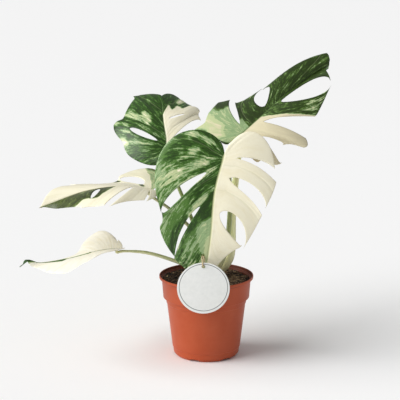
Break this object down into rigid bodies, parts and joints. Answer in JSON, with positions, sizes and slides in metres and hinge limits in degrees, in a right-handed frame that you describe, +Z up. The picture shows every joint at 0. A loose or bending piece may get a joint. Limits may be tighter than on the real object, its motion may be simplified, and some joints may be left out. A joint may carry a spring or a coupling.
{
  "type": "potted plant",
  "caption": "Potted variegated monstera with split green and ivory leaves on stalks, soil, a terracotta-coloured plastic nursery pot and a round card tag on twine.",
  "frame": {"origin": "middle of the pot's foot, on the surface it rests on", "axes": "+Z up; -Y towards the viewer, with the tag and the upper side of the front leaf; +X to the viewer's right"},
  "size_m": [0.3968, 0.2061, 0.3712],
  "materials": {
    "pot_plastic": "smooth matt terracotta-coloured moulding",
    "soil": "dark crumbly potting soil with brown fibres",
    "leaf": "green marbled with ivory and sage, satin sheen",
    "stalk": "light green and cream, satin",
    "tag_card": "matt white with a thin grey printed ring",
    "twine": "natural tan fibre"
  },
  "bodies": {
    "root": {"pot": "pot_plastic", "soil": "soil", "stem": "stalk", "stalk_front": "stalk", "stalk_upper_right": "stalk", "stalk_upper_left": "stalk", "stalk_mid_left": "stalk", "stalk_low_left": "stalk", "leaf_front": "leaf", "leaf_upper_right": "leaf", "leaf_upper_left": "leaf", "leaf_mid_left": "leaf", "leaf_low_left": "leaf", "tag": "tag_card", "tag_twine": "twine"}
  },
  "joints": []
}
